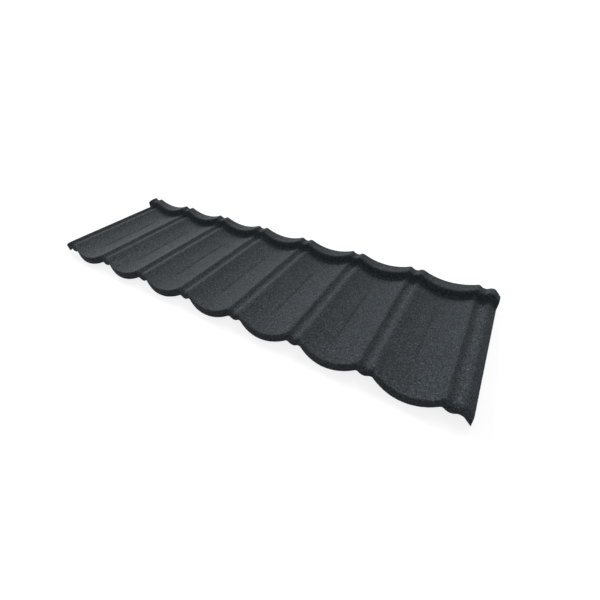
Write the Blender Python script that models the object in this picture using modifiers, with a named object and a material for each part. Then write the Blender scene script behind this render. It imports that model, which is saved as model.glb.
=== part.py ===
"""Roofing sheet pressed from one piece of steel in a tile pattern, coated with stone granules.

One course deep: seven shallow dished pans stand side by side between eight double-crested ribs.
Each rib falls steeply from a tight left crest into its groove and rises to a broad right crest, and
each pan is pressed a little deeper right of a line along its middle, like tiles that lap sideways.
The front edge is folded down as a nose, which bows forward in front of each pan like the front of
a row of tiles. The back edge is folded up as a lip and back as a shelf: a batten carries them, and
the nose of the next sheet up the roof covers them. The sheet is one section across the width, swept
along the outline of the depth, and the fold of the nose is tight in the pans and at the left edge,
and soft at the ribs' ends. It lies as it would on a level floor: on the nose of its first pan, on
the underside of that pan at the back, and on the low right end of its nose. Metres, +Z up, +Y from
the nose to the shelf.
"""
import math
from collections import namedtuple

import bmesh
import bpy
from mathutils import Vector

# The section across the width
PAN_COUNT = 7
PAN_PITCH = 0.1807
PAN_DEPTH = 0.0160
RIB_WIDTH = 0.0340
GROOVE_DEPTH = 0.0065
LEFT_CREST_RADIUS = 0.0070
RIGHT_CREST_RADIUS = 0.0130
LEFT_FLANK_ANGLE = math.radians(32.0)
LEFT_EDGE_ABOVE_PANS = 0.0039
RIGHT_FLANK_ANGLE = math.radians(47.0)
RIGHT_EDGE_BELOW_PANS = 0.0031

# The outline of the depth, in the plane of a rib
NOSE_HEIGHT = 0.0255
NOSE_TUCK = 0.0015
NOSE_HEM = 0.0050
HEM_RADIUS = 0.0026
NOSE_RADIUS = 0.0035
RIB_END_RADIUS = 0.0120
RIB_END_BLEND = 0.0040
LIP_DISTANCE = 0.3644
LIP_FOOT_RADIUS = 0.0050
LIP_HEIGHT = 0.0246
LIP_TOP_RADIUS = 0.0055
SHELF_DEPTH = 0.0264

# How far the middle of each pan bows forward of the ribs, seen from above
NOSE_BOW = 0.0155
LIP_BOW = 0.0093

# The line along the middle of each pan: a short step down, then a long rise to the right
CREASE_FROM_NOSE = 0.0600
CREASE_FROM_LIP = 0.0644
CREASE_RUN_OUT = 0.0250
CREASE_LEFT_WIDTH = 0.0045
CREASE_RIGHT_WIDTH = 0.0500
CREASE_DEPTH = 0.0013

# Steel, primer, bonded granules and glaze together
SHEET_THICKNESS = 0.0020

# How finely the rounds are cut
HALF_PAN_STEPS = 5
CREST_STEPS = 3
HALF_GROOVE_STEPS = 2
HEM_STEPS = 2
NOSE_STEPS = 3
LIP_FOOT_STEPS = 2
LIP_TOP_STEPS = 3

# The coat of charcoal granules
GRANULE_COLOUR = (0.055, 0.064, 0.069, 1.0)
GRANULE_ROUGHNESS = 0.92

# A column of the sheet: its place across, its height, its share of the bow and of the crease
Column = namedtuple("Column", "x z bow crease")

# A row of the sheet: its place along, its height, and how far it bows and is creased in a pan
Row = namedtuple("Row", "y z bow crease")

# A fold in the depth's outline, rounded to a radius in so many steps; no radius leaves it sharp
Fold = namedtuple("Fold", "y z bow crease radius steps", defaults=(0.0, 0.0, 0.0, 0))

UP = math.radians(90.0)


def arc(centre, radius, start, end, steps):
    """Points along an arc, both ends with it."""
    angles = [start + (end - start) * step / steps for step in range(steps + 1)]
    return [(centre[0] + radius * math.cos(a), centre[1] + radius * math.sin(a)) for a in angles]


def half_hollow(half_span, depth, crest_radius):
    """Radius of an arc that starts level and meets a crest, and its slope where they meet."""
    reach = (half_span ** 2 + depth ** 2) / (2.0 * depth)
    return reach - crest_radius, math.asin(half_span / reach)


def flank_width(drop, angle, crest_radius):
    """How far out from its crest a straight flank reaches, to end so far below it."""
    straight_drop = drop - crest_radius * (1.0 - math.cos(angle))
    return crest_radius * math.sin(angle) + straight_drop / math.tan(angle)


def left_edge():
    """The outer edge of the left flank: its place across, and its height."""
    drop = PAN_DEPTH - LEFT_EDGE_ABOVE_PANS
    return -RIB_WIDTH / 2.0 - flank_width(drop, LEFT_FLANK_ANGLE, LEFT_CREST_RADIUS), -drop


def right_edge():
    """The outer edge of the right flank: its place across, and its height."""
    drop = PAN_DEPTH + RIGHT_EDGE_BELOW_PANS
    last_crest = PAN_COUNT * PAN_PITCH + RIB_WIDTH / 2.0
    return last_crest + flank_width(drop, RIGHT_FLANK_ANGLE, RIGHT_CREST_RADIUS), -drop


def half_pan():
    """Width of half a pan, from its middle to the crest beside it."""
    return (PAN_PITCH - RIB_WIDTH) / 2.0


def pan_columns(middle_x):
    """One pan between its two crests, its left half creased only beside the middle column."""
    radius, turn = half_hollow(half_pan(), PAN_DEPTH, RIGHT_CREST_RADIUS)
    step_turn = math.asin(CREASE_LEFT_WIDTH / radius)
    left = arc((middle_x, radius - PAN_DEPTH), radius, -UP - turn, -UP - step_turn, HALF_PAN_STEPS)[1:]
    columns = [Column(x, z, -z / PAN_DEPTH, 0.0) for x, z in left]
    radius, turn = half_hollow(half_pan(), PAN_DEPTH, LEFT_CREST_RADIUS)
    right = arc((middle_x, radius - PAN_DEPTH), radius, -UP, -UP + turn, HALF_PAN_STEPS)[:-1]
    for x, z in right:
        creased = max(0.0, 1.0 - (x - middle_x) / CREASE_RIGHT_WIDTH) ** 2
        columns.append(Column(x, z, -z / PAN_DEPTH, creased))
    return columns


def rib_columns(rib_x, turn_in, turn_out, bow_in, bow_out):
    """A rib's two crests and the groove between them; only its pan sides share in the bow."""
    half_rib = RIB_WIDTH / 2.0
    fall_radius, fall = half_hollow(half_rib, GROOVE_DEPTH, LEFT_CREST_RADIUS)
    rise_radius, rise = half_hollow(half_rib, GROOVE_DEPTH, RIGHT_CREST_RADIUS)
    left_middle = (rib_x - half_rib, -LEFT_CREST_RADIUS)
    right_middle = (rib_x + half_rib, -RIGHT_CREST_RADIUS)
    fall_middle = (rib_x, fall_radius - GROOVE_DEPTH)
    rise_middle = (rib_x, rise_radius - GROOVE_DEPTH)
    points = arc(left_middle, LEFT_CREST_RADIUS, UP + turn_in, UP - fall, CREST_STEPS)
    points += arc(fall_middle, fall_radius, -UP - fall, -UP, HALF_GROOVE_STEPS)[1:]
    points += arc(rise_middle, rise_radius, -UP, -UP + rise, HALF_GROOVE_STEPS)[1:-1]
    points += arc(right_middle, RIGHT_CREST_RADIUS, UP + rise, UP - turn_out, CREST_STEPS)
    columns = []
    for x, z in points:
        outside = x < rib_x - half_rib or x > rib_x + half_rib
        share = bow_in if x < rib_x else bow_out
        columns.append(Column(x, z, -z / PAN_DEPTH * share if outside else 0.0, 0.0))
    return columns


def across():
    """The sheet's upper surface from its left edge to its right one, its crests at z = 0."""
    into_pan = half_hollow(half_pan(), PAN_DEPTH, RIGHT_CREST_RADIUS)[1]
    out_of_pan = half_hollow(half_pan(), PAN_DEPTH, LEFT_CREST_RADIUS)[1]
    columns = [Column(*left_edge(), 0.0, 0.0)]
    for rib in range(PAN_COUNT + 1):
        first = rib == 0
        last = rib == PAN_COUNT
        columns += rib_columns(
            rib * PAN_PITCH,
            LEFT_FLANK_ANGLE if first else out_of_pan,
            RIGHT_FLANK_ANGLE if last else into_pan,
            0.0 if first else 1.0,
            0.0 if last else 1.0,
        )
        if not last:
            columns += pan_columns((rib + 0.5) * PAN_PITCH)
    columns.append(Column(*right_edge(), 0.0, 0.0))
    return columns


def along(nose_radius):
    """The sheet's outer surface from the nose's hem, up and over the pans, to the shelf's back."""
    def in_pan(y, crease):
        return Fold(y, 0.0, NOSE_BOW + (LIP_BOW - NOSE_BOW) * y / LIP_DISTANCE, crease)

    folds = [
        Fold(NOSE_TUCK + NOSE_HEM, -NOSE_HEIGHT, NOSE_BOW),
        Fold(NOSE_TUCK, -NOSE_HEIGHT, NOSE_BOW, 0.0, HEM_RADIUS, HEM_STEPS),
        Fold(0.0, 0.0, NOSE_BOW, 0.0, nose_radius, NOSE_STEPS),
        in_pan(CREASE_FROM_NOSE, 0.0),
        in_pan(CREASE_FROM_NOSE + CREASE_RUN_OUT, 1.0),
        in_pan(LIP_DISTANCE - CREASE_FROM_LIP - CREASE_RUN_OUT, 1.0),
        in_pan(LIP_DISTANCE - CREASE_FROM_LIP, 0.0),
        Fold(LIP_DISTANCE, 0.0, LIP_BOW, 0.0, LIP_FOOT_RADIUS, LIP_FOOT_STEPS),
        Fold(LIP_DISTANCE, LIP_HEIGHT, LIP_BOW, 0.0, LIP_TOP_RADIUS, LIP_TOP_STEPS),
        Fold(LIP_DISTANCE + SHELF_DEPTH, LIP_HEIGHT),
    ]
    rows = []
    for index, fold in enumerate(folds):
        if not fold.radius:
            rows.append(Row(fold.y, fold.z, fold.bow, fold.crease))
            continue
        corner = Vector((fold.y, fold.z))
        back = (Vector((folds[index - 1].y, folds[index - 1].z)) - corner).normalized()
        ahead = (Vector((folds[index + 1].y, folds[index + 1].z)) - corner).normalized()
        half_angle = back.angle(ahead) / 2.0
        centre = corner + (back + ahead).normalized() * fold.radius / math.sin(half_angle)
        first = corner + back * fold.radius / math.tan(half_angle) - centre
        last = corner + ahead * fold.radius / math.tan(half_angle) - centre
        for step in range(fold.steps + 1):
            point = centre + first.slerp(last, step / fold.steps) * fold.radius
            rows.append(Row(point.x, point.y, fold.bow, 0.0))
    return rows


def granule_material():
    """Charcoal stone granules under a dull glaze."""
    material = bpy.data.materials.new("charcoal_granules")
    material.use_nodes = True
    shader = material.node_tree.nodes["Principled BSDF"]
    shader.inputs["Base Color"].default_value = GRANULE_COLOUR
    shader.inputs["Roughness"].default_value = GRANULE_ROUGHNESS
    shader.inputs["Metallic"].default_value = 0.0
    return material


def rib_share(column):
    """How far a column takes the soft roll of the ribs' ends: none in the pans and the left edge."""
    on_left_flank = column.x < -RIB_WIDTH / 2.0
    drop = -column.z if on_left_flank else column.bow * PAN_DEPTH
    return max(0.0, 1.0 - drop / RIB_END_BLEND)


def roofing_sheet(collection):
    """A flat grid, folded to the section across and the outline along, then given its thickness."""
    columns = across()
    pan_rows = along(NOSE_RADIUS)
    rib_rows = along(RIB_END_RADIUS)
    last_column = len(columns) - 1
    last_row = len(pan_rows) - 1

    folded = bmesh.new()
    bmesh.ops.create_grid(folded, x_segments=last_column, y_segments=last_row, size=1.0)
    for vertex in folded.verts:
        column = columns[round((vertex.co.x + 1.0) / 2.0 * last_column)]
        index = round((vertex.co.y + 1.0) / 2.0 * last_row)
        row = pan_rows[index]
        rolled = rib_share(column)
        y = row.y + (rib_rows[index].y - row.y) * rolled
        z = row.z + (rib_rows[index].z - row.z) * rolled
        vertex.co = (
            column.x,
            y - column.bow * row.bow,
            column.z + z - column.crease * row.crease * CREASE_DEPTH,
        )
    mesh = bpy.data.meshes.new("roofing_sheet")
    folded.to_mesh(mesh)
    folded.free()
    mesh.materials.append(granule_material())
    mesh.shade_smooth()
    mesh.set_sharp_from_angle(angle=math.radians(40.0))

    sheet = bpy.data.objects.new("roofing_sheet", mesh)
    collection.objects.link(sheet)
    thickness = sheet.modifiers.new("thickness", "SOLIDIFY")
    thickness.thickness = SHEET_THICKNESS
    thickness.offset = -1.0
    thickness.use_even_offset = True
    return sheet


def lay_on_floor(sheet):
    """Turns the sheet until the three feet that it rests on are level, and centres it."""
    first_pan = PAN_PITCH / 2.0
    last_pan = (PAN_COUNT - 0.5) * PAN_PITCH
    pan_back = Vector((
        first_pan,
        LIP_DISTANCE - LIP_BOW - LIP_FOOT_RADIUS,
        -PAN_DEPTH - SHEET_THICKNESS,
    ))
    left_nose = Vector((first_pan, -NOSE_BOW, -PAN_DEPTH - NOSE_HEIGHT))
    edge_x, edge_z = right_edge()
    right_nose = min(
        Vector((edge_x, 0.0, edge_z - NOSE_HEIGHT)),
        Vector((last_pan, -NOSE_BOW, -PAN_DEPTH - NOSE_HEIGHT)),
        key=lambda foot: foot.z,
    )
    upright = (right_nose - left_nose).cross(pan_back - left_nose)
    sheet.rotation_euler = upright.rotation_difference(Vector((0.0, 0.0, 1.0))).to_euler()
    bpy.context.view_layer.update()
    solid = sheet.evaluated_get(bpy.context.evaluated_depsgraph_get())
    corners = [solid.matrix_world @ vertex.co for vertex in solid.data.vertices]
    sheet.location = (
        -(min(c.x for c in corners) + max(c.x for c in corners)) / 2.0,
        -(min(c.y for c in corners) + max(c.y for c in corners)) / 2.0,
        -min(c.z for c in corners),
    )


for old in list(bpy.data.objects):
    bpy.data.objects.remove(old, do_unlink=True)

tile_sheet = bpy.data.collections.new("tile_effect_roofing_sheet")
bpy.context.scene.collection.children.link(tile_sheet)
lay_on_floor(roofing_sheet(tile_sheet))
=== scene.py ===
import math

import bmesh
import bpy
import numpy as np
from mathutils import Euler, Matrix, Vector


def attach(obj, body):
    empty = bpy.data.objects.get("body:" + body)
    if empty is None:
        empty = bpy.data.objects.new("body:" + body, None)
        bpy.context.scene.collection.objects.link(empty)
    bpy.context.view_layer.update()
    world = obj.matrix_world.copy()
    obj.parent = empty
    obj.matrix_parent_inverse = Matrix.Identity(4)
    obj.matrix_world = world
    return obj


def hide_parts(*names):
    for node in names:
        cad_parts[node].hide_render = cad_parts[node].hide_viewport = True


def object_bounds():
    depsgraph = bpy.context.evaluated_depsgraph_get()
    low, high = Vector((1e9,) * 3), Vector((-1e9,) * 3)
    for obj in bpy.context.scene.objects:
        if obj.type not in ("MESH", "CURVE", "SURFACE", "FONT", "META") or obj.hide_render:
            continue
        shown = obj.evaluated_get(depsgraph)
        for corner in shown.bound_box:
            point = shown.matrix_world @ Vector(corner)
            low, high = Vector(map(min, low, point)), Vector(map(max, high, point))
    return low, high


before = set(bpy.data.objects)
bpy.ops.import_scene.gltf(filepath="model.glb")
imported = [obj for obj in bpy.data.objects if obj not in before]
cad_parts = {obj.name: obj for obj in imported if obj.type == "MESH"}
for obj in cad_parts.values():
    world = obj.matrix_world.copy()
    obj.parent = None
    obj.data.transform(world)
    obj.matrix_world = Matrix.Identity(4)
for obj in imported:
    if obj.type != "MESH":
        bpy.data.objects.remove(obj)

cad_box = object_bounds()

# The pressed form
# One piece of thin steel, pressed to seven creased, shallow pans between eight double-crested
# ribs, then folded down at the front as a bowed nose and up at the back as a lip and a shelf.
PAN_COUNT = 7
PAN_PITCH = 0.1807
PAN_DEPTH = 0.0160
RIB_WIDTH = 0.0340
GROOVE_DEPTH = 0.0065
LEFT_CREST_RADIUS = 0.0070
RIGHT_CREST_RADIUS = 0.0130
LEFT_FLANK_ANGLE = math.radians(32.0)
LEFT_EDGE_ABOVE_PANS = 0.0039
RIGHT_FLANK_ANGLE = math.radians(47.0)
RIGHT_EDGE_BELOW_PANS = 0.0031

NOSE_HEIGHT = 0.0255
NOSE_TUCK = 0.0015
NOSE_HEM = 0.0050
HEM_RADIUS = 0.0026
NOSE_RADIUS = 0.0035
RIB_END_RADIUS = 0.0120
RIB_END_BLEND = 0.0040
NOSE_BOW = 0.0155
LIP_DISTANCE = 0.3644
LIP_FOOT_RADIUS = 0.0050
LIP_HEIGHT = 0.0246
LIP_TOP_RADIUS = 0.0055
LIP_BOW = 0.0093
SHELF_DEPTH = 0.0264

CREASE_FROM_NOSE = 0.0600
CREASE_FROM_LIP = 0.0644
CREASE_RUN_OUT = 0.0250
CREASE_DEPTH = 0.0020
CREASE_LEFT_OF_MIDDLE = 0.0025
CREASE_LEFT_WIDTH = 0.0052
CREASE_RIGHT_WIDTH = 0.0500
CREASE_RISE_POWER = 3

SHEET_THICKNESS = 0.0020

UP = math.radians(90.0)


def arc(centre, radius, start, end, spacing):
    """Points along an arc from start to end, no further apart than the spacing, without the first."""
    steps = max(2, math.ceil(radius * abs(end - start) / spacing))
    angles = [start + (end - start) * step / steps for step in range(1, steps + 1)]
    return [(centre[0] + radius * math.cos(a), centre[1] + radius * math.sin(a)) for a in angles]


def line(first, last, steps):
    """Points along a straight line in so many steps, without the first."""
    return [
        tuple(a + (b - a) * step / steps for a, b in zip(first, last))
        for step in range(1, steps + 1)
    ]


def straight(first, last, spacing):
    """Points along a straight line, no further apart than the spacing, without the first."""
    return line(first, last, max(1, math.ceil(math.dist(first, last) / spacing)))


def half_hollow(half_span, depth, crest_radius):
    """Radius of an arc that starts level and meets a crest, and its slope where they meet."""
    reach = (half_span ** 2 + depth ** 2) / (2.0 * depth)
    return reach - crest_radius, math.asin(half_span / reach)


def flank_width(drop, angle, crest_radius):
    """How far out from its crest a straight flank reaches, to end so far below it."""
    straight_drop = drop - crest_radius * (1.0 - math.cos(angle))
    return crest_radius * math.sin(angle) + straight_drop / math.tan(angle)


def left_edge():
    """The outer edge of the left flank: its place across, and its height."""
    drop = PAN_DEPTH - LEFT_EDGE_ABOVE_PANS
    return -RIB_WIDTH / 2.0 - flank_width(drop, LEFT_FLANK_ANGLE, LEFT_CREST_RADIUS), -drop


def right_edge():
    """The outer edge of the right flank: its place across, and its height."""
    drop = PAN_DEPTH + RIGHT_EDGE_BELOW_PANS
    last_crest = PAN_COUNT * PAN_PITCH + RIB_WIDTH / 2.0
    return last_crest + flank_width(drop, RIGHT_FLANK_ANGLE, RIGHT_CREST_RADIUS), -drop


def hollow(middle, half_span, depth, left_radius, right_radius, spacing):
    """A hollow between crests of two radii, in two halves that meet level in the middle."""
    radius, turn = half_hollow(half_span, depth, left_radius)
    left = arc((middle, radius - depth), radius, -UP - turn, -UP, spacing)
    radius, turn = half_hollow(half_span, depth, right_radius)
    right = arc((middle, radius - depth), radius, -UP, -UP + turn, spacing)
    return left + right


def section(spacing):
    """The upper surface across the whole width, its crests at height 0, as points left to right."""
    half_rib = RIB_WIDTH / 2.0
    half_pan = PAN_PITCH / 2.0 - half_rib
    into_pan = half_hollow(half_pan, PAN_DEPTH, RIGHT_CREST_RADIUS)[1]
    out_of_pan = half_hollow(half_pan, PAN_DEPTH, LEFT_CREST_RADIUS)[1]
    into_groove = half_hollow(half_rib, GROOVE_DEPTH, LEFT_CREST_RADIUS)[1]
    out_of_groove = half_hollow(half_rib, GROOVE_DEPTH, RIGHT_CREST_RADIUS)[1]
    points = [left_edge()]
    for rib in range(PAN_COUNT + 1):
        middle = rib * PAN_PITCH
        arriving = LEFT_FLANK_ANGLE if rib == 0 else out_of_pan
        leaving = RIGHT_FLANK_ANGLE if rib == PAN_COUNT else into_pan
        crest = (middle - half_rib, -LEFT_CREST_RADIUS)
        if rib == 0:
            meet = arc(crest, LEFT_CREST_RADIUS, UP, UP + arriving, spacing)[-1]
            points += straight(points[-1], meet, spacing)
        points += arc(crest, LEFT_CREST_RADIUS, UP + arriving, UP - into_groove, spacing)
        crests = (LEFT_CREST_RADIUS, RIGHT_CREST_RADIUS)
        points += hollow(middle, half_rib, GROOVE_DEPTH, *crests, spacing)
        crest = (middle + half_rib, -RIGHT_CREST_RADIUS)
        points += arc(crest, RIGHT_CREST_RADIUS, UP + out_of_groove, UP - leaving, spacing)
        if rib < PAN_COUNT:
            middle += PAN_PITCH / 2.0
            crests = (RIGHT_CREST_RADIUS, LEFT_CREST_RADIUS)
            points += hollow(middle, half_pan, PAN_DEPTH, *crests, spacing)
    return points + straight(points[-1], right_edge(), spacing)


def outline(spacing, nose_radius):
    """The outer surface along the depth in the plane of a rib, from the hem to the shelf's back."""
    folds = [
        (Vector((NOSE_TUCK, -NOSE_HEIGHT)), HEM_RADIUS, HEM_RADIUS),
        (Vector((0.0, 0.0)), nose_radius, RIB_END_RADIUS),
        (Vector((LIP_DISTANCE, 0.0)), LIP_FOOT_RADIUS, LIP_FOOT_RADIUS),
        (Vector((LIP_DISTANCE, LIP_HEIGHT)), LIP_TOP_RADIUS, LIP_TOP_RADIUS),
    ]
    hem_edge = Vector((NOSE_TUCK + NOSE_HEM, -NOSE_HEIGHT))
    shelf_back = Vector((LIP_DISTANCE + SHELF_DEPTH, LIP_HEIGHT))
    corners = [hem_edge] + [fold[0] for fold in folds] + [shelf_back]
    points = [tuple(hem_edge)]
    for (corner, radius, widest), before, after in zip(folds, corners, corners[2:]):
        back = (before - corner).normalized()
        ahead = (after - corner).normalized()
        half_angle = back.angle(ahead) / 2.0
        centre = corner + (back + ahead).normalized() * radius / math.sin(half_angle)
        first = (corner + back * radius / math.tan(half_angle) - centre).normalized()
        last = (corner + ahead * radius / math.tan(half_angle) - centre).normalized()
        steps = max(1, math.ceil((corner - before).length / spacing))
        points += line(points[-1], tuple(centre + first * radius), steps)
        steps = max(3, math.ceil(widest * first.angle(last) / spacing))
        turns = [first.slerp(last, step / steps) for step in range(1, steps + 1)]
        points += [tuple(centre + turn * radius) for turn in turns]
    return points + straight(points[-1], tuple(shelf_back), spacing)


def share_of_bow(across, height):
    """How much of the bow each point of the section takes: all in a pan's middle, none on the ribs."""
    from_rib = np.abs(across - np.rint(across / PAN_PITCH) * PAN_PITCH)
    in_pans = (from_rib > RIB_WIDTH / 2.0) & (across > 0.0) & (across < PAN_COUNT * PAN_PITCH)
    return np.where(in_pans, -height / PAN_DEPTH, 0.0)


def share_of_roll(across, height):
    """How much each point of the section takes the soft roll of the ribs' ends."""
    on_left_flank = across < -RIB_WIDTH / 2.0
    drop = np.where(on_left_flank, -height, share_of_bow(across, height) * PAN_DEPTH)
    return np.clip(1.0 - drop / RIB_END_BLEND, 0.0, 1.0)


def bow(along):
    """How far a pan's middle lies forward of the ribs at each place along the depth."""
    stations = [0.0, LIP_DISTANCE, LIP_DISTANCE + LIP_TOP_RADIUS, LIP_DISTANCE + SHELF_DEPTH]
    return np.interp(along, stations, [NOSE_BOW, LIP_BOW, LIP_BOW, 0.0])


def crease(across, along):
    """How deep each point lies in its pan's crease, which drops at the left and rises slowly."""
    from_line = across - (np.floor(across / PAN_PITCH) + 0.5) * PAN_PITCH + CREASE_LEFT_OF_MIDDLE
    pressed = np.interp(from_line, [-CREASE_LEFT_WIDTH, 0.0, CREASE_RIGHT_WIDTH], [0.0, 1.0, 0.0])
    pressed = np.where(from_line > 0.0, pressed ** CREASE_RISE_POWER, pressed)
    end = LIP_DISTANCE - CREASE_FROM_LIP
    stations = [CREASE_FROM_NOSE, CREASE_FROM_NOSE + CREASE_RUN_OUT, end - CREASE_RUN_OUT, end]
    return CREASE_DEPTH * pressed * np.interp(along, stations, [0.0, 1.0, 1.0, 0.0])


def resting_turn():
    """The turn that brings the three feet of the sheet down onto a level floor."""
    first_pan = PAN_PITCH / 2.0
    pan_back = Vector((
        first_pan,
        LIP_DISTANCE - LIP_BOW - LIP_FOOT_RADIUS,
        -PAN_DEPTH - SHEET_THICKNESS,
    ))
    left_nose = Vector((first_pan, -NOSE_BOW, -PAN_DEPTH - NOSE_HEIGHT))
    edge_x, edge_z = right_edge()
    right_nose = Vector((edge_x, 0.0, edge_z - NOSE_HEIGHT))
    upright = (right_nose - left_nose).cross(pan_back - left_nose)
    return upright.rotation_difference(Vector((0.0, 0.0, 1.0)))


def pressed_sheet(name, spacing):
    """The outer surface, folded from a flat grid and laid where the sheet's thickness fills the box."""
    across, height = np.array(section(spacing)).T
    pan_outline = np.array(outline(spacing, NOSE_RADIUS))
    rib_outline = np.array(outline(spacing, RIB_END_RADIUS))
    flat = bmesh.new()
    bmesh.ops.create_grid(flat, x_segments=len(across) - 1, y_segments=len(pan_outline) - 1, size=1.0)
    mesh = bpy.data.meshes.new(name)
    flat.to_mesh(mesh)
    flat.free()

    places = np.empty(len(mesh.vertices) * 3)
    mesh.vertices.foreach_get("co", places)
    places = places.reshape(-1, 3)
    column = np.rint((places[:, 0] + 1.0) / 2.0 * (len(across) - 1)).astype(int)
    row = np.rint((places[:, 1] + 1.0) / 2.0 * (len(pan_outline) - 1)).astype(int)
    along = pan_outline[row, 0]
    roll = share_of_roll(across, height)[column, None]
    rolled = pan_outline[row] + (rib_outline[row] - pan_outline[row]) * roll
    places[:, 0] = across[column]
    places[:, 1] = rolled[:, 0] - share_of_bow(across, height)[column] * bow(along)
    places[:, 2] = height[column] + rolled[:, 1] - crease(across[column], along)

    turned = places @ np.array(resting_turn().to_matrix()).T
    mesh.vertices.foreach_set("co", turned.ravel())
    mesh.update()
    facings = np.empty(len(mesh.vertices) * 3)
    mesh.vertices.foreach_get("normal", facings)
    both_sides = np.concatenate([turned, turned - facings.reshape(-1, 3) * SHEET_THICKNESS])
    lowest, highest = both_sides.min(0), both_sides.max(0)
    box_low, box_high = np.array(cad_box[0]), np.array(cad_box[1])
    turned[:, :2] += (box_low + box_high - lowest - highest)[:2] / 2.0
    turned[:, 2] += box_low[2] - lowest[2]
    mesh.vertices.foreach_set("co", turned.ravel())
    mesh.update()
    mesh.shade_smooth()
    sheet = bpy.data.objects.new(name, mesh)
    bpy.context.scene.collection.objects.link(sheet)
    return sheet


# The steel core
# The strip itself, zinc-aluminium coated, with a plain grey wash coat baked on its underside and
# its cut edges bare. It is the lower part of the sheet's thickness, under the granules.
CORE_THICKNESS = 0.0006
CORE_SPACING = 0.0060
COAT_THICKNESS = SHEET_THICKNESS - CORE_THICKNESS
WASH_COAT_DARK = (0.150, 0.155, 0.155, 1.0)
WASH_COAT_LIGHT = (0.190, 0.196, 0.194, 1.0)
WASH_COAT_ROUGHNESS = 0.55
WASH_CLOUDS_PER_METRE = 18.0
WASH_CLOUD_CONTRAST = 1.6
PEEL_PER_METRE = 700.0
PEEL_HEIGHT = 0.00008
PEEL_STRENGTH = 0.6
CUT_STEEL_DULL = (0.216, 0.222, 0.228, 1.0)
CUT_STEEL_CLEAN = (0.36, 0.37, 0.38, 1.0)
CUT_STEEL_ROUGHNESS = 0.45
STAINS_PER_METRE = 120.0
STAIN_CONTRAST = 2.0
MOTTLE_DETAIL = 4.0
MOTTLE_ROUGHNESS = 0.6


def add_node(tree, kind, x, y, **values):
    """A node at its place in the tree, its named sockets set to values or linked to outputs."""
    node = tree.nodes.new(kind)
    node.location = (x, y)
    for name, value in values.items():
        socket = node.inputs[name.replace("_", " ")]
        if isinstance(value, bpy.types.NodeSocket):
            tree.links.new(value, socket)
        else:
            socket.default_value = value
    return node


def mottle_group():
    """Slow, cloudy change over a surface, as a share from 0 to 1, from patches of a named size."""
    group = bpy.data.node_groups.new("mottle", "ShaderNodeTree")
    group.interface.new_socket("Patches per metre", in_out="INPUT", socket_type="NodeSocketFloat")
    group.interface.new_socket("Contrast", in_out="INPUT", socket_type="NodeSocketFloat")
    group.interface.new_socket("Share", in_out="OUTPUT", socket_type="NodeSocketFloat")
    sockets = group.nodes.new("NodeGroupInput")
    sockets.location = (-600, 0)
    place = add_node(group, "ShaderNodeTexCoord", -600, 200)
    clouds = add_node(
        group, "ShaderNodeTexNoise", -400, 0,
        Vector=place.outputs["Object"], Scale=sockets.outputs["Patches per metre"],
        Detail=MOTTLE_DETAIL, Roughness=MOTTLE_ROUGHNESS,
    )
    centred = add_node(group, "ShaderNodeMath", -200, 0)
    centred.operation = "SUBTRACT"
    group.links.new(clouds.outputs["Fac"], centred.inputs[0])
    centred.inputs[1].default_value = 0.5
    spread = add_node(group, "ShaderNodeMath", 0, 0)
    spread.operation = "MULTIPLY_ADD"
    spread.use_clamp = True
    group.links.new(centred.outputs[0], spread.inputs[0])
    group.links.new(sockets.outputs["Contrast"], spread.inputs[1])
    spread.inputs[2].default_value = 0.5
    result = group.nodes.new("NodeGroupOutput")
    result.location = (200, 0)
    group.links.new(spread.outputs[0], result.inputs["Share"])
    return group


MOTTLE = mottle_group()


def mottled(tree, x, y, patches, contrast):
    """The mottle group placed in a material, and its share."""
    node = tree.nodes.new("ShaderNodeGroup")
    node.node_tree = MOTTLE
    node.location = (x, y)
    node.inputs["Patches per metre"].default_value = patches
    node.inputs["Contrast"].default_value = contrast
    return node.outputs["Share"]


def blend_of(tree, x, y, share, first, second):
    """A colour between two colours, by a share."""
    node = tree.nodes.new("ShaderNodeMix")
    node.data_type = "RGBA"
    node.location = (x, y)
    tree.links.new(share, node.inputs[0])
    node.inputs[6].default_value = first
    node.inputs[7].default_value = second
    return node.outputs[2]


def wash_coat_material():
    """Grey baked coat, faintly clouded, with the slight orange peel of a rolled-on film."""
    material = bpy.data.materials.new("grey_wash_coat")
    material.use_nodes = True
    tree = material.node_tree
    shader = tree.nodes["Principled BSDF"]
    shader.inputs["Roughness"].default_value = WASH_COAT_ROUGHNESS
    clouds = mottled(tree, -500, 200, WASH_CLOUDS_PER_METRE, WASH_CLOUD_CONTRAST)
    grey = blend_of(tree, -250, 200, clouds, WASH_COAT_DARK, WASH_COAT_LIGHT)
    tree.links.new(grey, shader.inputs["Base Color"])
    place = add_node(tree, "ShaderNodeTexCoord", -750, -200)
    peel = add_node(
        tree, "ShaderNodeTexNoise", -500, -200,
        Vector=place.outputs["Object"], Scale=PEEL_PER_METRE, Detail=2.0,
    )
    bump = add_node(
        tree, "ShaderNodeBump", -250, -200,
        Height=peel.outputs["Fac"], Distance=PEEL_HEIGHT, Strength=PEEL_STRENGTH,
    )
    tree.links.new(bump.outputs["Normal"], shader.inputs["Normal"])
    return material


def cut_steel_material():
    """The sheared edge of the strip, faintly clouded."""
    material = bpy.data.materials.new("sheared_steel_edge")
    material.use_nodes = True
    tree = material.node_tree
    shader = tree.nodes["Principled BSDF"]
    shader.inputs["Metallic"].default_value = 1.0
    shader.inputs["Roughness"].default_value = CUT_STEEL_ROUGHNESS
    stains = mottled(tree, -500, 0, STAINS_PER_METRE, STAIN_CONTRAST)
    steel = blend_of(tree, -250, 0, stains, CUT_STEEL_DULL, CUT_STEEL_CLEAN)
    tree.links.new(steel, shader.inputs["Base Color"])
    return material


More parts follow.
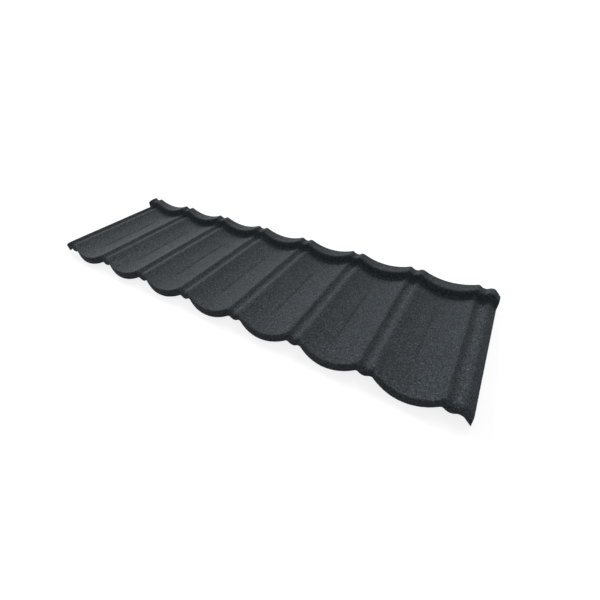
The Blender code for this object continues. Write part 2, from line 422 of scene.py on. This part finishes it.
core = pressed_sheet("steel_core", CORE_SPACING)
core.data.materials.append(wash_coat_material())
core.data.materials.append(cut_steel_material())
core_thickness = core.modifiers.new("thickness", "SOLIDIFY")
core_thickness.thickness = CORE_THICKNESS
core_thickness.offset = -1.0 - 2.0 * COAT_THICKNESS / CORE_THICKNESS
core_thickness.use_even_offset = True
core_thickness.material_offset_rim = 1
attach(core, "root")
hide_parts("roofing_sheet")

# The granule coat
# Crushed stone about a millimetre across, fired in charcoal and slate colours, bedded in acrylic
# over the upper side and round the folds, under a thin dull glaze. It stops at the cut edges.
COAT_SPACING = 0.00278
RELIEF_DEPTH = 0.00032
RELIEF_SEED = 5
COAT_SHARP_ANGLE = math.radians(50.0)
GRANULE_SIZE = 0.0013
GRANULE_HEIGHT = 0.0005
GRANULE_BUMP = 0.9
GRANULE_REACH = 0.75
GRANULE_GLOSS = 0.20
GLAZE_SMOOTHEST = 0.80
GLAZE_ROUGHEST = 1.0
CLUMP_SIZE = 0.0042
CLUMP_NOISE_LOW = 0.22
CLUMP_NOISE_HIGH = 0.70
CLUMP_DARKEST = 0.44
CLUMP_LIGHTEST = 1.22
# Painted shade and painted highlight: the colour is darkened in the gaps between granules and lightened
# on their tops, standing in for the shade of their relief.
PAINTED_GAP_SHADE = 0.60
PAINTED_TOP_HIGHLIGHT = 1.10
CLOUDS_PER_METRE = 14.0
CLOUD_CONTRAST = 1.8
CLOUD_DARKEST = 0.90
CLOUD_LIGHTEST = 1.10
GRANULE_COLOURS = (
    (0.00, (0.0170, 0.0210, 0.0235, 1.0)),
    (0.35, (0.0390, 0.0480, 0.0545, 1.0)),
    (0.65, (0.0568, 0.0690, 0.0780, 1.0)),
    (0.90, (0.0800, 0.0955, 0.1060, 1.0)),
    (1.00, (0.1240, 0.1400, 0.1500, 1.0)),
)


def spread_over(tree, x, y, value, lowest, highest):
    """A value from 0 to 1 spread between two ends."""
    node = add_node(tree, "ShaderNodeMapRange", x, y, Value=value)
    node.inputs["To Min"].default_value = lowest
    node.inputs["To Max"].default_value = highest
    return node.outputs[0]


def granule_coat_material():
    """Granules of mixed dark colours, each with its own tone and a rounded top, in looser clumps, with
    painted shade in the gaps between granules and a painted highlight on their tops.
    """
    material = bpy.data.materials.new("charcoal_granules")
    material.use_nodes = True
    tree = material.node_tree
    shader = tree.nodes["Principled BSDF"]
    shader.inputs["Specular IOR Level"].default_value = GRANULE_GLOSS
    place = add_node(tree, "ShaderNodeTexCoord", -1500, 0)
    granules = add_node(
        tree, "ShaderNodeTexVoronoi", -1300, 200,
        Vector=place.outputs["Object"], Scale=1.0 / GRANULE_SIZE, Randomness=1.0,
    )
    tone = add_node(tree, "ShaderNodeSeparateColor", -1100, 300, Color=granules.outputs["Color"])
    stones = add_node(tree, "ShaderNodeValToRGB", -900, 300, Fac=tone.outputs["Red"])
    ramp = stones.color_ramp
    while len(ramp.elements) < len(GRANULE_COLOURS):
        ramp.elements.new(0.5)
    for element, (position, colour) in zip(ramp.elements, GRANULE_COLOURS):
        element.position = position
        element.color = colour

    clumps = add_node(
        tree, "ShaderNodeTexNoise", -1300, -100,
        Vector=place.outputs["Object"], Scale=1.0 / CLUMP_SIZE, Detail=1.0, Roughness=0.5,
    )
    packed = add_node(tree, "ShaderNodeMapRange", -1100, -100, Value=clumps.outputs["Fac"])
    packed.inputs["From Min"].default_value = CLUMP_NOISE_LOW
    packed.inputs["From Max"].default_value = CLUMP_NOISE_HIGH
    packed.inputs["To Min"].default_value = CLUMP_DARKEST
    packed.inputs["To Max"].default_value = CLUMP_LIGHTEST
    clouds = mottled(tree, -1100, -350, CLOUDS_PER_METRE, CLOUD_CONTRAST)
    # The granules' rounded tops give the bump its height, and also set the painted gap shade and
    # painted top highlight in the colour.
    tops_and_painted_shade = add_node(tree, "ShaderNodeMapRange", -1100, -600, Value=granules.outputs["Distance"])
    tops_and_painted_shade.interpolation_type = "SMOOTHSTEP"
    tops_and_painted_shade.inputs["From Max"].default_value = GRANULE_REACH
    tops_and_painted_shade.inputs["To Min"].default_value = 1.0
    tops_and_painted_shade.inputs["To Max"].default_value = 0.0
    tone_and_painted_shade = (
        (clouds, CLOUD_DARKEST, CLOUD_LIGHTEST, -300),
        (tops_and_painted_shade.outputs[0], PAINTED_GAP_SHADE, PAINTED_TOP_HIGHLIGHT, -500),
    )
    gain = packed.outputs[0]
    for share, lowest, highest, y in tone_and_painted_shade:
        product = add_node(tree, "ShaderNodeMath", -700, y)
        product.operation = "MULTIPLY"
        tree.links.new(gain, product.inputs[0])
        tree.links.new(spread_over(tree, -900, y, share, lowest, highest), product.inputs[1])
        gain = product.outputs[0]
    shaded = add_node(tree, "ShaderNodeVectorMath", -500, 200)
    shaded.operation = "SCALE"
    tree.links.new(stones.outputs["Color"], shaded.inputs[0])
    tree.links.new(gain, shaded.inputs["Scale"])
    tree.links.new(shaded.outputs["Vector"], shader.inputs["Base Color"])
    glaze = spread_over(tree, -500, -50, tone.outputs["Blue"], GLAZE_SMOOTHEST, GLAZE_ROUGHEST)
    tree.links.new(glaze, shader.inputs["Roughness"])
    bump = add_node(
        tree, "ShaderNodeBump", -500, -500,
        Height=tops_and_painted_shade.outputs[0], Distance=GRANULE_HEIGHT, Strength=GRANULE_BUMP,
    )
    tree.links.new(bump.outputs["Normal"], shader.inputs["Normal"])
    return material


def granule_coat():
    """A fine surface whose points are sunk by uneven amounts, with its edge turned down."""
    coat = pressed_sheet("granule_coat", COAT_SPACING)
    mesh = coat.data
    count = len(mesh.vertices)
    places = np.empty(count * 3)
    facings = np.empty(count * 3)
    mesh.vertices.foreach_get("co", places)
    mesh.vertices.foreach_get("normal", facings)
    places = places.reshape(-1, 3)
    facings = facings.reshape(-1, 3)
    sunk = np.random.default_rng(RELIEF_SEED).random(count) * RELIEF_DEPTH
    mesh.vertices.foreach_set("co", (places - facings * sunk[:, None]).ravel())
    mesh.materials.append(granule_coat_material())
    mesh.set_sharp_from_angle(angle=COAT_SHARP_ANGLE)
    edge = coat.modifiers.new("turned_down_edge", "SOLIDIFY")
    edge.thickness = COAT_THICKNESS
    edge.offset = -1.0
    edge.use_rim_only = True
    return coat


coat = granule_coat()
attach(coat, "root")
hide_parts("roofing_sheet")

# The floor
# A level, pale studio floor that runs out to a white horizon. It shows white, and takes the
# sheet's soft shadow.
FLOOR_REACH = 30.0
FLOOR_BELOW_SHEET = 0.0003
FLOOR_COLOUR = (0.25, 0.25, 0.25, 1.0)
FLOOR_GLOW = 0.80
FLOOR_TO_OBJECT = (0.16, 0.16, 0.16, 1.0)


def seen_directly(tree, x, y):
    """1 for what the camera sees itself, in a gloss or through glass, and 0 for scattered light."""
    path = add_node(tree, "ShaderNodeLightPath", x, y)
    either = add_node(tree, "ShaderNodeMath", x + 200, y)
    either.operation = "MAXIMUM"
    tree.links.new(path.outputs["Is Camera Ray"], either.inputs[0])
    tree.links.new(path.outputs["Is Glossy Ray"], either.inputs[1])
    every = add_node(tree, "ShaderNodeMath", x + 400, y)
    every.operation = "MAXIMUM"
    tree.links.new(either.outputs[0], every.inputs[0])
    tree.links.new(path.outputs["Is Transmission Ray"], every.inputs[1])
    return every.outputs[0]


def floor_material():
    """Pale and partly aglow to the eye, so that it shows white, and darker to the light it scatters."""
    material = bpy.data.materials.new("pale_floor")
    material.use_nodes = True
    tree = material.node_tree
    shader = tree.nodes["Principled BSDF"]
    shader.inputs["Roughness"].default_value = 1.0
    shader.inputs["Specular IOR Level"].default_value = 0.0
    seen = seen_directly(tree, -900, 0)
    colour = blend_of(tree, -250, 100, seen, FLOOR_TO_OBJECT, FLOOR_COLOUR)
    tree.links.new(colour, shader.inputs["Base Color"])
    shader.inputs["Emission Strength"].default_value = FLOOR_GLOW
    glow = blend_of(tree, -250, -200, seen, (0.0, 0.0, 0.0, 1.0), (1.0, 1.0, 1.0, 1.0))
    tree.links.new(glow, shader.inputs["Emission Color"])
    return material


bpy.ops.mesh.primitive_plane_add(size=2.0 * FLOOR_REACH, location=(0.0, 0.0, -FLOOR_BELOW_SHEET))
floor = bpy.context.active_object
floor.name = "floor"
floor.data.materials.append(floor_material())

# The light
# A broad soft light high behind and a broad soft one low on the left rake across the ribs and
# leave the nose in shade. A white room round them fills the rest.
BACK_AZIMUTH = math.radians(90.0)
BACK_ELEVATION = math.radians(55.0)
BACK_SOFTNESS = 0.5
BACK_STRENGTH = 0.98
LEFT_AZIMUTH = math.radians(155.0)
LEFT_ELEVATION = math.radians(25.0)
LEFT_SOFTNESS = 0.35
LEFT_STRENGTH = 2.35
ROOM_STRENGTH = 0.52


def shine(name, azimuth, elevation, softness, strength):
    """A far, soft light that stands in a direction and lights the origin."""
    lamp = bpy.data.lights.new(name, "SUN")
    lamp.energy = strength
    lamp.angle = softness
    holder = bpy.data.objects.new(name, lamp)
    holder.rotation_euler = (math.radians(90.0) - elevation, 0.0, math.radians(90.0) + azimuth)
    bpy.context.scene.collection.objects.link(holder)


shine("back_sky", BACK_AZIMUTH, BACK_ELEVATION, BACK_SOFTNESS, BACK_STRENGTH)
shine("left_sky", LEFT_AZIMUTH, LEFT_ELEVATION, LEFT_SOFTNESS, LEFT_STRENGTH)

room = bpy.data.worlds.new("room")
room.use_nodes = True
bpy.context.scene.world = room
backdrop = room.node_tree.nodes["Background"]
seen = seen_directly(room.node_tree, -900, 0)
backdrop.inputs["Color"].default_value = (1.0, 1.0, 1.0, 1.0)
room.node_tree.links.new(
    spread_over(room.node_tree, -300, 0, seen, ROOM_STRENGTH, 1.0), backdrop.inputs["Strength"],
)

# The camera
# It looks down on the sheet from beyond its right front corner, close and wide. Its place and
# turn are fitted to the outlines of the sheet in the photograph.
CAMERA_PLACE = (0.5694, -0.6000, 0.6171)
CAMERA_TURN = (47.83, 2.75, 30.73)
CAMERA_LENS = 19.55
CAMERA_SENSOR = 36.0
CAMERA_REACH = 200.0

lens = bpy.data.cameras.new("camera")
lens.sensor_width = CAMERA_SENSOR
lens.lens = CAMERA_LENS
lens.clip_end = CAMERA_REACH
camera = bpy.data.objects.new("camera", lens)
camera.location = CAMERA_PLACE
camera.rotation_euler = Euler([math.radians(angle) for angle in CAMERA_TURN])
bpy.context.scene.collection.objects.link(camera)
bpy.context.scene.camera = camera
bpy.context.scene.view_settings.view_transform = "Standard"
